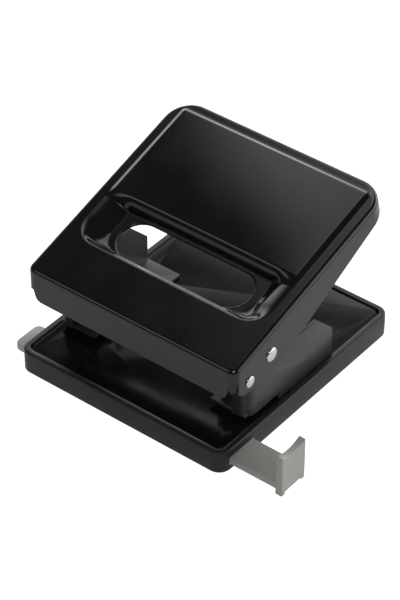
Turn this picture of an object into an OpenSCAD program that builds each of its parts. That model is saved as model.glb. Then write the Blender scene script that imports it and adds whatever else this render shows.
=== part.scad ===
// Two-hole desk punch of pressed steel on a plastic chip tray.
// Millimetres, +Z up. The origin is the centre of the tray's flat underside, and the paper
// goes in at the -Y side. Places along the punch are given from the tray's front edge.

/* [Chip tray] */
// Width of the tray, and so of the whole base
tray_w = 112; // [106:1:136]
// Depth of the tray from front to back
tray_d = 121; // [118:1:150]
// Height of the rim above the underside
tray_h = 11.3; // [10.6:0.1:16]
// Radius of the tray's upright corners
tray_r = 6; // [5:0.5:12]
// Width of the rim round the base plate
rim_w = 3; // [2.4:0.1:4]
// Width of the ledge that carries the base plate
ledge_w = 2; // [1.5:0.1:3]
// Thickness of the floor
floor_t = 2; // [1.6:0.1:2.6]

/* [Rubber feet] */
// Diameter of a pad
foot_d = 12; // [8:0.5:16]
// How far a pad stands below the tray
foot_proud = 1; // [0.6:0.1:2]
// Depth of the recess that holds a pad
foot_recess = 0.8; // [0.4:0.1:1]

/* [Base plate] */
// Thickness of the steel
plate_t = 1.5; // [1:0.1:2]
// How far the plate lies below the rim
plate_drop = 0.6; // [0.2:0.1:1]

/* [Punching] */
// Distance between the two holes in the paper
hole_spacing = 80; // [70:1:88]
// Diameter of a punched hole
hole_d = 5.5; // [4:0.1:6]
// Distance from the front of the tray to the punches
punch_y = 32.5; // [31:0.5:36]
// Distance from the centre of a hole to the edge of the paper
paper_margin = 12; // [9:0.5:14]
// Height of the slot for the paper
paper_gap = 3; // [2:0.1:4]

/* [Brackets] */
// Thickness of the folded steel
bracket_t = 1.5; // [1:0.1:1.8]
// Distance from the rim's outside to a bracket's outer face
bracket_in = 4; // [3.6:0.1:6]
// Distance from the middle of a punch to the inner edge of its web and foot
web_inside = 8; // [7.5:0.5:12]
// Front edge of the brackets
bracket_front = 22.3; // [20:0.1:24]
// Rear edge of the brackets
bracket_back = 82; // [76:0.5:90]
// Height of the cheeks' level top edge above the base plate
cheek_h = 25.8; // [24.4:0.2:26.2]
// Length of the slanted corner at the back of a cheek
cheek_slant = 11.5; // [8:0.5:14]
// Width of the return at the front of a bracket
return_w = 8; // [7:0.5:12]

/* [Lever] */
// How far each side flange stands out past the tray
lever_out = 0.2; // [-0.5:0.1:0.6]
// Length along the slope
lever_l = 110.5; // [100:0.5:116]
// Thickness of the pressed steel
lever_t = 1.2; // [0.8:0.1:1.5]
// Slope of the lever at rest
lever_pitch = 16.5; // [14:0.5:19]
// Distance from the tray's front to the front edge
lever_y = 8; // [7:0.5:9]
// Height of the front top edge above the base plate
lever_h = 39.9; // [39.4:0.1:43]
// Radius of the rear corners
lever_r = 13; // [8:1:18]
// Depth of the rear flange
rear_flange = 8; // [6:0.5:10]
// Depth of the trough in front of the pad
trough_depth = 5; // [3:0.5:6]
// Height of the raised pad
pad_rise = 2.2; // [1:0.1:3]

/* [Pins and rivets] */
// Distance from the tray's front to the lever's pivot
pivot_y = 18; // [17:0.5:19]
// Height of the pivot above the base plate
pivot_h = 29.8; // [29.4:0.1:31]
// Diameter of the pivot rivets
pivot_d = 4; // [3:0.5:5]
// Height of the press rod above the base plate
rod_h = 34.8; // [34.4:0.1:35.2]
// Diameter of the press rod
rod_d = 5; // [4:0.5:5]
// Diameter of the rivets that hold the brackets
rivet_d = 4; // [3:0.5:5]

/* [Paper guide] */
// Width of the guide's bar
guide_w = 16; // [12:0.5:18]
// Thickness of the bar
guide_t = 3.4; // [2.8:0.1:3.8]
// How far the bar's end stands out of the tray on the left
guide_left = 7.5; // [5:0.5:15]
// Distance from the tray's right side to the fence's outer face
guide_right = 27; // [22:1:34]
// Height of the fence above the tray's underside
fence_h = 22; // [18:0.5:26]
// Thickness of the fence
fence_t = 3.5; // [2.5:0.5:5]

/* [Hidden] */
$fn = 64;

// Gap between pieces that are assembled by hand
gap = 0.3;
// Radial clearance of a running fit
run = 0.05;
// Overshoot of a cut past the face that it opens
cut = 1;

front = -tray_d / 2;
plate_top = tray_h - plate_drop;
plate_z = plate_top - plate_t;
plate_inset = rim_w + gap + 0.1;
hollow_r = tray_r - rim_w;
punch_x = hole_spacing / 2;

// Bracket: heights of the web over the paper and x of its faces
web_z = plate_top + paper_gap;
web_top = web_z + bracket_t;
bracket_x = tray_w / 2 - bracket_in;
cheek_x = bracket_x - bracket_t;
bracket_inner = punch_x - web_inside;
foot_x = (bracket_inner + bracket_x) / 2;
cheek_top = plate_top + cheek_h;
stop_y = punch_y + paper_margin;
bend_r = 6;
return_top = plate_top + 22.3;
foot_rivets = [stop_y + 13, stop_y + 27];

// Ear that holds the pivot
pivot_z = plate_top + pivot_h;
ear_r = 5.5;
dip_top = cheek_top - 2;

// Lever: inner faces and the outline of its side flanges
lever_x = tray_w / 2 + lever_out;
lever_z = plate_top + lever_h;
lever_inner_x = lever_x - lever_t;
lip_bottom = plate_top + 24;
lip_half = lever_x - 3.5;
front_r = 4;
trough = [23.7, 52];
trough_half = lever_x - 8.5;
slot_half = 35;
slot = [28, 48];
pad = [52, 101.5];
pad_half = lever_x - 9;
pad_r = 6;

// Punches and what rides on them
shaft_r = hole_d / 2;
hole_r = shaft_r + run;
punch_head_d = hole_d + 2.5;
punch_head_h = 2.5;
rod_z = plate_top + rod_h;
punch_top = rod_z - rod_d / 2 - 0.1;
punch_tip = web_z + 0.3;
clip_r = shaft_r + 1.75;
strap_half = clip_r + 2;
strap_w = 10;
tab_w = 6;
strap_top = web_top + 16.3;
clip_t = 0.7;
clip_top = strap_top - bracket_t - 0.35;
groove_r = shaft_r - 0.5;

// Springs
wire_r = 0.4;
coil_r = shaft_r + wire_r + 0.45;
coil_turns = 6.5;
coil_sides = 6;
coil_steps = 12;

// Paper guide
guide_z = floor_t + 1.4;
guide_y = rim_w + ledge_w + 0.5;
guide_end_r = 3;
guide_reach = tray_w / 2 + guide_right;
guide_l = guide_reach + tray_w / 2 + guide_left;
rail_w = 1.5;

// A point of the lever's side view, s along the slope and n out of it
function on_lever(s, n) = [lever_y + s * cos(lever_pitch) - n * sin(lever_pitch),
                           lever_z + s * sin(lever_pitch) + n * cos(lever_pitch)];

// Round-cornered slab, centred in x and y, standing on z = 0
module slab(w, d, h, r) {
    translate([-w / 2 + r, -d / 2, 0]) cube([w - 2 * r, d, h]);
    if (d > 2 * r) translate([-w / 2, -d / 2 + r, 0]) cube([w, d - 2 * r, h]);
    for (sx = [-1, 1], sy = [-1, 1])
        translate([sx * (w / 2 - r), sy * (d / 2 - r), 0]) cylinder(r = r, h = h);
}

// A (y, z) outline, y from the tray's front, pulled from x0 to x1
module across(x0, x1) {
    translate([x0, front, 0]) rotate([90, 0, 90]) linear_extrude(x1 - x0) children();
}

// A cylinder along X, at y from the tray's front
module bar(x0, x1, y, z, r) {
    translate([x0, front + y, z]) rotate([0, 90, 0]) cylinder(r = r, h = x1 - x0);
}

// The same thing on the left, where x is negative
module on_left() {
    mirror([1, 0, 0]) children();
}

// ---- Tray and what it stands on ----

module guide_slot(side) {
    depth = rim_w + ledge_w + hollow_r + 2 * cut;
    x0 = side > 0 ? tray_w / 2 + cut - depth : -tray_w / 2 - cut;
    translate([x0, front + guide_y - gap, guide_z - 0.2])
        cube([depth, guide_w + 2 * gap, guide_t + 0.5]);
}

module at_feet() {
    for (sx = [-1, 1], sy = [-1, 1])
        translate([sx * (tray_w / 2 - foot_d), sy * (tray_d / 2 - foot_d), 0]) children();
}

module chip_tray() {
    hollow = rim_w + ledge_w;
    color([0.05, 0.05, 0.055]) {
        difference() {
            slab(tray_w, tray_d, tray_h, tray_r);
            translate([0, 0, plate_z])
                slab(tray_w - 2 * rim_w, tray_d - 2 * rim_w, tray_h, tray_r - rim_w / 2);
            translate([0, 0, floor_t])
                slab(tray_w - 2 * hollow, tray_d - 2 * hollow, tray_h, hollow_r);
            for (side = [-1, 1]) guide_slot(side);
            at_feet() translate([0, 0, -cut]) cylinder(d = foot_d + 0.2, h = foot_recess + cut);
        }
        for (y = [guide_y + 2, guide_y + guide_w - 2 - rail_w])
            translate([-tray_w / 2 + hollow - 0.5, front + y, floor_t - 0.5])
                cube([tray_w - 2 * hollow + 1, rail_w, guide_z - floor_t + 0.4]);
    }
}

module rubber_feet() {
    color([0.1, 0.1, 0.1])
        at_feet() translate([0, 0, -foot_proud]) cylinder(d = foot_d, h = foot_proud + foot_recess);
}

// ---- Base plate and brackets ----

module base_plate() {
    color([0.03, 0.03, 0.035])
        difference() {
            translate([0, 0, plate_z])
                slab(tray_w - 2 * plate_inset, tray_d - 2 * plate_inset, plate_t,
                     tray_r - rim_w / 2 - gap);
            for (side = [-1, 1]) {
                translate([side * punch_x, front + punch_y, plate_z - cut])
                    cylinder(r = hole_r, h = plate_t + 2 * cut);
                for (y = foot_rivets)
                    translate([side * foot_x, front + y, plate_z - cut])
                        cylinder(d = rivet_d, h = plate_t + 2 * cut);
            }
        }
}

// Side view of the cheek, with the ear that carries the pivot
module cheek_outline() {
    back = bracket_back;
    start = bracket_front + bend_r;
    difference() {
        union() {
            polygon([[start, web_z], [stop_y, web_z], [stop_y, plate_top], [back, plate_top],
                     [back, cheek_top - cheek_slant], [back - cheek_slant, cheek_top],
                     [punch_y + 8, cheek_top], [punch_y + 6, dip_top], [start + 1, dip_top],
                     [start - 0.5, dip_top + 2.5], [pivot_y + 4, pivot_z + 3.8],
                     [pivot_y - 3.8, pivot_z - 4], [pivot_y - 1, pivot_z - 5.4], [start, return_top - 3]]);
            translate([pivot_y, pivot_z]) circle(r = ear_r);
        }
        translate([pivot_y, pivot_z]) circle(d = pivot_d);
    }
}

// Plan of the bend between a cheek and its front return, x outward
module bend_plan() {
    difference() {
        circle(r = bend_r);
        circle(r = bend_r - bracket_t);
        translate([-2 * bend_r, -2 * bend_r]) square([2 * bend_r, 4 * bend_r]);
        translate([-2 * bend_r, 0]) square(4 * bend_r);
    }
}

module right_bracket() {
    color([0.12, 0.13, 0.16])
        difference() {
            union() {
                across(cheek_x, bracket_x) cheek_outline();
                translate([bracket_x - bend_r, front + bracket_front + bend_r, web_z])
                    linear_extrude(return_top - web_z) bend_plan();
                translate([bracket_x - return_w, front + bracket_front, web_z])
                    cube([return_w - bend_r, bracket_t, return_top - web_z]);
                across(bracket_inner, cheek_x + 0.1) web_outline();
            }
            translate([punch_x, front + punch_y, web_z - cut])
                cylinder(r = hole_r, h = bracket_t + 2 * cut);
            for (side = [-1, 1])
                translate([punch_x + side * (strap_half - bracket_t / 2) - bracket_t / 2 - 0.05,
                           front + punch_y - tab_w / 2 - 0.05, web_z - cut])
                    cube([bracket_t + 0.1, tab_w + 0.1, bracket_t + 2 * cut]);
            for (y = foot_rivets)
                translate([foot_x, front + y, plate_top - cut])
                    cylinder(d = rivet_d, h = bracket_t + 2 * cut);
        }
}

// Side view of the web over the paper, the step that stops it and the foot
module web_outline() {
    y0 = bracket_front + 0.5;
    polygon([[y0, web_z], [stop_y, web_z], [stop_y, plate_top], [bracket_back, plate_top],
             [bracket_back, plate_top + bracket_t], [stop_y + bracket_t, plate_top + bracket_t],
             [stop_y + bracket_t, web_top], [y0, web_top]]);
}

module left_bracket() {
    on_left() right_bracket();
}

module bracket_rivets() {
    head_r = rivet_d * 0.85;
    head_h = 1.2;
    color([0.7, 0.7, 0.72])
        for (side = [-1, 1], y = foot_rivets)
            translate([side * foot_x, front + y, 0]) {
                translate([0, 0, plate_z]) cylinder(d = rivet_d, h = plate_t + bracket_t);
                translate([0, 0, plate_top + bracket_t])
                    rotate_extrude() intersection() {
                        translate([0, head_h - 3.5]) circle(r = 3.5);
                        square([head_r, head_h]);
                    }
                translate([0, 0, plate_z - 0.8]) cylinder(r = head_r, h = 0.8);
            }
}

// ---- Punches, their guides and springs ----

module right_guide_strap() {
    leg_z = web_top;
    color([0.55, 0.56, 0.58])
        difference() {
            translate([punch_x, front + punch_y, 0]) union() {
                translate([-strap_half, -strap_w / 2, leg_z])
                    cube([2 * strap_half, strap_w, strap_top - leg_z]);
                for (side = [-1, 1])
                    translate([side * (strap_half - bracket_t / 2) - bracket_t / 2, -tab_w / 2, web_z])
                        cube([bracket_t, tab_w, leg_z - web_z]);
            }
            translate([punch_x - strap_half + bracket_t, front + punch_y - strap_w, web_z - cut])
                cube([2 * (strap_half - bracket_t), 2 * strap_w, strap_top - web_z - bracket_t + cut]);
            translate([punch_x, front + punch_y, web_z]) cylinder(r = hole_r, h = strap_top);
        }
}

module left_guide_strap() {
    on_left() right_guide_strap();
}

module right_punch() {
    hollow_r = 5;
    color([0.75, 0.76, 0.78])
        translate([punch_x, front + punch_y, 0])
            difference() {
                rotate_extrude() polygon([
                    [0, punch_tip], [shaft_r, punch_tip], [shaft_r, clip_top - clip_t - run],
                    [groove_r, clip_top - clip_t - run], [groove_r, clip_top + run],
                    [shaft_r, clip_top + run], [shaft_r, punch_top - punch_head_h],
                    [punch_head_d / 2, punch_top - punch_head_h], [punch_head_d / 2, punch_top - 0.5],
                    [punch_head_d / 2 - 0.5, punch_top], [0, punch_top]]);
                translate([-cut - shaft_r, 0, punch_tip - hollow_r + 0.9]) rotate([0, 90, 0])
                    cylinder(r = hollow_r, h = hole_d + 2 * cut);
            }
}

module left_punch() {
    on_left() right_punch();
}

module right_retaining_clip() {
    color([0.6, 0.6, 0.62])
        translate([punch_x, front + punch_y, clip_top - clip_t])
            difference() {
                cylinder(r = clip_r, h = clip_t);
                translate([0, 0, -cut]) cylinder(r = groove_r, h = clip_t + 2 * cut);
                translate([-groove_r * 0.9, 0, -cut]) cube([groove_r * 1.8, clip_r + cut, clip_t + 2 * cut]);
            }
}

module left_retaining_clip() {
    on_left() right_retaining_clip();
}

// Round wire swept along a helix that starts and ends flat on its seats
module coil(z0, z1) {
    rings = coil_turns * coil_steps;
    lift = z1 - z0 - 2 * wire_r;
    function at(i) = let (a = 360 * i / coil_steps, u = i / rings)
        [coil_r * cos(a), coil_r * sin(a), z0 + wire_r + lift * (u - 0.06 * sin(360 * u))];
    function ring(i) = let (a = 360 * i / coil_steps, c = at(i))
        [for (j = [0 : coil_sides - 1]) let (b = 360 * j / coil_sides)
            c + wire_r * [cos(a) * cos(b), sin(a) * cos(b), sin(b)]];
    points = [for (i = [0 : rings]) each ring(i)];
    n = coil_sides;
    walls = [for (i = [0 : rings - 1], j = [0 : n - 1])
        [i * n + j, (i + 1) * n + j, (i + 1) * n + (j + 1) % n, i * n + (j + 1) % n]];
    polyhedron(points, concat([[for (j = [0 : n - 1]) j]], walls,
                              [[for (j = [n - 1 : -1 : 0]) rings * n + j]]));
}

module right_spring() {
    color([0.65, 0.65, 0.68])
        translate([punch_x, front + punch_y, 0]) coil(web_top + 0.02, clip_top - clip_t - 0.02);
}

module left_spring() {
    color([0.65, 0.65, 0.68])
        translate([-punch_x, front + punch_y, 0]) coil(web_top + 0.02, clip_top - clip_t - 0.02);
}

// ---- Lever and what turns with it or holds it ----

// Plan of the lever in its own slope, drawn in by d all round
module lever_plan(d) {
    r = lever_r - d;
    half = lever_x - d;
    long = lever_l - d;
    translate([-half, -30]) square([2 * half, long + 30 - r]);
    translate([-half + r, 0]) square([2 * (half - r), long]);
    for (side = [-1, 1]) translate([side * (half - r), long - r]) circle(r = r);
}

module in_slope() {
    translate([0, front + lever_y, lever_z]) rotate([lever_pitch, 0, 0]) children();
}

module slope_slab(half, s, r, n0, n1) {
    in_slope() translate([0, (s[0] + s[1]) / 2, n0]) slab(2 * half, s[1] - s[0], n1 - n0, r);
}

// Solid within the outer faces (d = 0) or the inner faces (d = the steel's thickness)
module lever_body(d) {
    p = lever_pitch;
    top_front = [lever_y + d, lever_z + d * tan(p) - d / cos(p)];
    low = d > 0 ? 20 : 0;
    difference() {
        union() {
            intersection() {
                across(-lever_x + d, lever_x - d)
                    polygon([top_front, on_lever(lever_l - d, -d), on_lever(lever_l - d, -rear_flange - low),
                             [pivot_y + 25.1, pivot_z - 2.1 - low],
                             [pivot_y + 18, pivot_z - 4.5 - low], [pivot_y, pivot_z - 5.7 - low],
                             [pivot_y - 6, pivot_z - 4 - low], [lever_y + d, pivot_z - 0.5 - low]]);
                in_slope() translate([0, 0, -100]) linear_extrude(110) lever_plan(d);
                translate([0, 100 + front + lever_y + d, 0])
                    slab(2 * (lever_x - d), 200, 120, front_r - d);
            }
            slope_slab(pad_half - d, [pad[0] + d, pad[1] - d], pad_r - d, -4, pad_rise - d);
        }
        slope_slab(trough_half + d, [trough[0] - d, trough[1] + d], pad_r + d, -trough_depth - d, 10);
    }
}

module lever() {
    color([0.02, 0.02, 0.022])
        difference() {
            union() {
                difference() {
                    lever_body(0);
                    lever_body(lever_t);
                }
                translate([-lip_half, front + lever_y, lip_bottom])
                    cube([2 * lip_half, lever_t, lever_z - 4 - lip_bottom]);
            }
            slope_slab(slot_half, slot, (slot[1] - slot[0]) / 2, -trough_depth - lever_t - cut, 0);
            bar(-lever_x - cut, lever_x + cut, pivot_y, pivot_z, pivot_d / 2 + run);
            bar(-lever_x - cut, lever_x + cut, punch_y, rod_z, rod_d / 2 + run);
        }
}

module press_rod() {
    head_h = 1.2;
    color([0.8, 0.8, 0.82]) {
        bar(-lever_x, lever_x, punch_y, rod_z, rod_d / 2);
        for (x = [-lever_x - head_h, lever_x]) bar(x, x + head_h, punch_y, rod_z, rod_d / 2 + 0.8);
    }
}

module right_pivot_rivet() {
    head_h = 1;
    color([0.8, 0.8, 0.82]) {
        bar(cheek_x - head_h, cheek_x, pivot_y, pivot_z, pivot_d / 2 + 1);
        bar(cheek_x - 0.1, lever_x + 0.2, pivot_y, pivot_z, pivot_d / 2);
        bar(lever_x + 0.1, lever_x + 0.1 + head_h, pivot_y, pivot_z, pivot_d / 2 + 0.7);
    }
}

module left_pivot_rivet() {
    on_left() right_pivot_rivet();
}

module right_pivot_washer() {
    color([0.6, 0.6, 0.58])
        difference() {
            bar(bracket_x, lever_inner_x - 0.1, pivot_y, pivot_z, pivot_d / 2 + 2.5);
            bar(bracket_x - cut, lever_x, pivot_y, pivot_z, pivot_d / 2 + run);
        }
}

module left_pivot_washer() {
    on_left() right_pivot_washer();
}

// ---- Paper guide ----

module paper_guide() {
    fence_x = guide_reach - fence_t;
    scoop = 2.2;
    scoop_r = 17;
    fence_z = 1.6;
    foot_z = 0.4;
    foot_w = 2.5;
    color([0.5, 0.5, 0.45]) {
        translate([guide_reach - guide_l / 2 - 0.5, front + guide_y + guide_w / 2, guide_z])
            slab(guide_l - 1, guide_w, guide_t, guide_end_r);
        translate([fence_x - guide_end_r, front + guide_y, guide_z])
            cube([guide_end_r + 1, guide_w, guide_t]);
        difference() {
            translate([fence_x, front + guide_y, fence_z]) cube([fence_t, guide_w, fence_h - fence_z]);
            bar(fence_x - cut, guide_reach + cut, guide_y + guide_w / 2, fence_h + scoop_r - scoop, scoop_r);
        }
        for (y = [guide_y, guide_y + guide_w - foot_w])
            translate([fence_x, front + y, foot_z]) cube([fence_t, foot_w, guide_z]);
    }
}

chip_tray();
rubber_feet();
base_plate();
left_bracket();
right_bracket();
bracket_rivets();
left_guide_strap();
right_guide_strap();
left_punch();
right_punch();
left_retaining_clip();
right_retaining_clip();
left_spring();
right_spring();
lever();
press_rod();
left_pivot_rivet();
right_pivot_rivet();
left_pivot_washer();
right_pivot_washer();
paper_guide();
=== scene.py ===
import math

import bmesh
import bpy
import numpy as np
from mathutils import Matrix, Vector
from mathutils.geometry import delaunay_2d_cdt


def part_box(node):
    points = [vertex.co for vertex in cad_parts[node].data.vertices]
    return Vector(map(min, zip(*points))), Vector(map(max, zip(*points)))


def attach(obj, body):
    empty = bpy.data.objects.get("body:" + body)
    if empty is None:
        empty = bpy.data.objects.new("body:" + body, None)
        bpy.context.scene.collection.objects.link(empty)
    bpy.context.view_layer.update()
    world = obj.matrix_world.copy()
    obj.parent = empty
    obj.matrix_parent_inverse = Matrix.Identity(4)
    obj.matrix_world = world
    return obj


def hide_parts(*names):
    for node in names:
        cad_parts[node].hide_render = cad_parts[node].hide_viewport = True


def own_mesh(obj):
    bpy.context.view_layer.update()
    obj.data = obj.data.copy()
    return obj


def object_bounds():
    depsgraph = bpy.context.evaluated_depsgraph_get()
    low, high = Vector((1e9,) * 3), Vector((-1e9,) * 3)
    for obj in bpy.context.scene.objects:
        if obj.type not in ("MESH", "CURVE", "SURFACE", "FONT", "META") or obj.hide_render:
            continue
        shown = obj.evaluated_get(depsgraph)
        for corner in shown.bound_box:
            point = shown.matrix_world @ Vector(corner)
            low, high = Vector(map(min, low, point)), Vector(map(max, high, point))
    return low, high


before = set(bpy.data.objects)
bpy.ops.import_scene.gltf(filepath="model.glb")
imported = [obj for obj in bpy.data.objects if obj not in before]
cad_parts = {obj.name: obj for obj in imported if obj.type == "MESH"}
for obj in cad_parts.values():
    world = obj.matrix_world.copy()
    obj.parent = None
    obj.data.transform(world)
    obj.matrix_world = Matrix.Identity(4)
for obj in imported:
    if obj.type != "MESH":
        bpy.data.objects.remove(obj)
cad_low, cad_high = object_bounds()
MM = 0.001                      # sizes below are in millimetres times this


# ---- Camera ----
# A long lens, looking down at the punch from its front right corner, so that the front lip,
# the right flange and the top are all seen.
view_azimuth, view_elevation = math.radians(38.4), math.radians(39.5)
view_target = Vector((-0.0008, -0.0033, 0.0294))
view_distance = 1.12
to_camera = Vector((math.sin(view_azimuth) * math.cos(view_elevation),
                    -math.cos(view_azimuth) * math.cos(view_elevation),
                    math.sin(view_elevation)))
camera = bpy.data.objects.new("camera", bpy.data.cameras.new("camera"))
camera.data.lens = 155.6
camera.data.clip_end = 20
camera.location = view_target + view_distance * to_camera
camera.rotation_euler = to_camera.to_track_quat("Z", "Y").to_euler()
bpy.context.collection.objects.link(camera)
bpy.context.scene.camera = camera
bpy.context.scene.view_settings.view_transform = "Standard"


# ---- Studio ----
# A white table, lit from underneath too, so that it has hardly any shadow, in a dim room with
# a white wall behind it and large soft lights over it.
def wire(tree, kind, inputs=(), **settings):
    """A node of a shader or geometry tree, with its inputs set or linked."""
    node = tree.nodes.new(kind)
    for name, value in settings.items():
        setattr(node, name, value)
    for name, value in dict(inputs).items():
        socket = node.inputs[name]
        if isinstance(value, bpy.types.NodeSocket):
            tree.links.new(value, socket)
        else:
            socket.default_value = value
    return node


def soft_light(tree, direction, toward, inner, outer, strength):
    """Light that fades from its middle out to its edge, both given in degrees."""
    dot = wire(tree, "ShaderNodeVectorMath", {0: direction, 1: Vector(toward).normalized()},
               operation="DOT_PRODUCT")
    return wire(tree, "ShaderNodeMapRange",
                {"Value": dot.outputs["Value"], "From Min": math.cos(math.radians(outer)),
                 "From Max": math.cos(math.radians(inner)), "To Min": 0.0, "To Max": strength},
                interpolation_type="SMOOTHSTEP").outputs["Result"]


world = bpy.data.worlds.new("studio")
world.use_nodes = True
bpy.context.scene.world = world
room = world.node_tree
direction = wire(room, "ShaderNodeTexCoord").outputs["Generated"]
parts = wire(room, "ShaderNodeSeparateXYZ", {0: direction})
wall_height = wire(room, "ShaderNodeMapRange",
                   {"Value": parts.outputs["Z"], "From Min": 0.66, "From Max": 0.28},
                   interpolation_type="SMOOTHSTEP")
wall_behind = wire(room, "ShaderNodeMapRange",
                   {"Value": parts.outputs["Y"], "From Min": 0.0, "From Max": 0.6, "To Max": 3.0},
                   interpolation_type="SMOOTHSTEP")
light = wire(room, "ShaderNodeMath", {0: wall_height.outputs[0], 1: wall_behind.outputs[0]},
             operation="MULTIPLY").outputs[0]
# Each light: the way it lies in, its bright middle and its edge in degrees, and its strength
for toward, inner, outer, strength in (((-0.25, 0.45, 0.86), 5, 22.5, 2.1),
                                       ((-0.46, -0.62, 0.62), 6, 16, 1.3),
                                       ((0.77, 0.25, 0.57), 4, 14, 0.85),
                                       ((0.36, -0.50, 0.78), 4, 10, 14.0)):
    lamp = soft_light(room, direction, toward, inner, outer, strength)
    light = wire(room, "ShaderNodeMath", {0: light, 1: lamp}, operation="ADD").outputs[0]
dim_room = 0.07
light = wire(room, "ShaderNodeMath", {0: light, 1: dim_room}, operation="ADD").outputs[0]
room.links.new(light, room.nodes["Background"].inputs["Strength"])
room.nodes["Background"].inputs["Color"].default_value = (1, 1, 1, 1)


def finish(name, color, roughness, metallic=0.0, **sockets):
    """A material with one Principled shader, whose inputs its section then links."""
    material = bpy.data.materials.new(name)
    material.use_nodes = True
    shader = material.node_tree.nodes["Principled BSDF"]
    shader.inputs["Base Color"].default_value = (*color, 1)
    shader.inputs["Roughness"].default_value = roughness
    shader.inputs["Metallic"].default_value = metallic
    for socket, value in sockets.items():
        shader.inputs[socket.replace("_", " ")].default_value = value
    return material, material.node_tree, shader


table_white, tree, shader = finish("table_white", (0.8, 0.8, 0.8), 0.6)
seen = wire(tree, "ShaderNodeLightPath").outputs["Is Camera Ray"]
glow = wire(tree, "ShaderNodeMix", {"Factor": seen}, data_type="RGBA")
glow.inputs[6].default_value, glow.inputs[7].default_value = (0.17, 0.17, 0.17, 1), (1, 1, 1, 1)
tree.links.new(glow.outputs[2], shader.inputs["Emission Color"])
shader.inputs["Emission Strength"].default_value = 0.92
table_mesh = bpy.data.meshes.new("table")
table_z, table_reach = cad_low[2], 6.0
table_mesh.from_pydata([(x * table_reach, y * table_reach, table_z)
                        for x, y in ((-1, -1), (1, -1), (1, 1), (-1, 1))], [], [(0, 1, 2, 3)])
table_mesh.materials.append(table_white)
table = bpy.data.objects.new("table", table_mesh)
bpy.context.collection.objects.link(table)


# ---- Chip tray ----
# Moulded black plastic, with a fine grain outside. It holds the base plate in its rim, and the
# paper guide slides through a slot in each side.
def shader_group(name, inputs):
    """A node group on Object coordinates, with its named number inputs."""
    tree = bpy.data.node_groups.new(name, "ShaderNodeTree")
    for label, value in inputs.items():
        tree.interface.new_socket(label, in_out="INPUT",
                                  socket_type="NodeSocketFloat").default_value = value
    entry = tree.nodes.new("NodeGroupInput")
    place = wire(tree, "ShaderNodeTexCoord").outputs["Object"]
    return tree, entry.outputs, place


def group_result(tree, label, value):
    """Puts one value out of a shader group."""
    tree.interface.new_socket(label, in_out="OUTPUT", socket_type="NodeSocketFloat")
    tree.links.new(value, tree.nodes.new("NodeGroupOutput").inputs[label])


def use_group(tree, group, **inputs):
    """A shader group placed in a material, with its own values; gives what it puts out."""
    node = tree.nodes.new("ShaderNodeGroup")
    node.node_tree = group
    for label, value in inputs.items():
        node.inputs[label.replace("_", " ")].default_value = value
    return node.outputs[0]


# Grain: fine pits over a broader unevenness
grain, given, place = shader_group("moulded_grain", {"Pits per metre": 2600.0,
                                                     "Waves per metre": 90.0, "Waviness": 0.35})
pits = wire(grain, "ShaderNodeTexVoronoi", {"Vector": place, "Scale": given["Pits per metre"]},
            feature="SMOOTH_F1")
waves = wire(grain, "ShaderNodeTexNoise", {"Vector": place, "Scale": given["Waves per metre"],
                                           "Detail": 2.0})
both = wire(grain, "ShaderNodeMath", {0: waves.outputs["Fac"], 1: given["Waviness"],
                                      2: pits.outputs["Distance"]}, operation="MULTIPLY_ADD")
group_result(grain, "Height", both.outputs[0])

# Rub: where edges have been handled, broken up by noise
rub, given, place = shader_group("edge_rub", {"Edge radius": 0.0006, "Reach": 0.12,
                                              "Patches per metre": 160.0})
turned_in = wire(rub, "ShaderNodeBevel", {"Radius": given["Edge radius"]}, samples=4)
flat = wire(rub, "ShaderNodeNewGeometry").outputs["Normal"]
facing = wire(rub, "ShaderNodeVectorMath", {0: turned_in.outputs[0], 1: flat},
              operation="DOT_PRODUCT")
bend = wire(rub, "ShaderNodeMath", {0: 1.0, 1: facing.outputs["Value"]}, operation="SUBTRACT")
patches = wire(rub, "ShaderNodeTexNoise", {"Vector": place, "Scale": given["Patches per metre"],
                                           "Detail": 5.0, "Roughness": 0.65})
strong = wire(rub, "ShaderNodeMapRange", {"Value": patches.outputs["Fac"], "From Min": 0.42,
                                          "From Max": 0.62}, interpolation_type="SMOOTHSTEP")
edge = wire(rub, "ShaderNodeMapRange", {"Value": bend.outputs[0], "From Min": 0.01,
                                        "From Max": given["Reach"]},
            interpolation_type="SMOOTHSTEP")
mask = wire(rub, "ShaderNodeMath", {0: edge.outputs[0], 1: strong.outputs[0]},
            operation="MULTIPLY")
group_result(rub, "Mask", mask.outputs[0])

# Dust: what lies on faces that look up, thinner where it has been wiped
dust, given, place = shader_group("settled_dust", {"Specks per metre": 420.0, "Cover": 0.5})
up = wire(dust, "ShaderNodeSeparateXYZ", {0: wire(dust, "ShaderNodeNewGeometry").outputs["Normal"]})
level = wire(dust, "ShaderNodeMapRange", {"Value": up.outputs["Z"], "From Min": 0.55,
                                          "From Max": 1.0}, interpolation_type="SMOOTHSTEP")
wiped = wire(dust, "ShaderNodeTexNoise", {"Vector": place, "Scale": 38.0, "Detail": 3.0})
specks = wire(dust, "ShaderNodeTexNoise", {"Vector": place, "Scale": given["Specks per metre"],
                                           "Detail": 4.0, "Roughness": 0.7})
lying = wire(dust, "ShaderNodeMath", {0: wiped.outputs["Fac"], 1: specks.outputs["Fac"]},
             operation="MULTIPLY")
shown = wire(dust, "ShaderNodeMapRange", {"Value": lying.outputs[0], "From Min": 0.22,
                                          "From Max": 0.5, "To Max": given["Cover"]})
mask = wire(dust, "ShaderNodeMath", {0: shown.outputs[0], 1: level.outputs[0]},
            operation="MULTIPLY")
group_result(dust, "Mask", mask.outputs[0])


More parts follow.
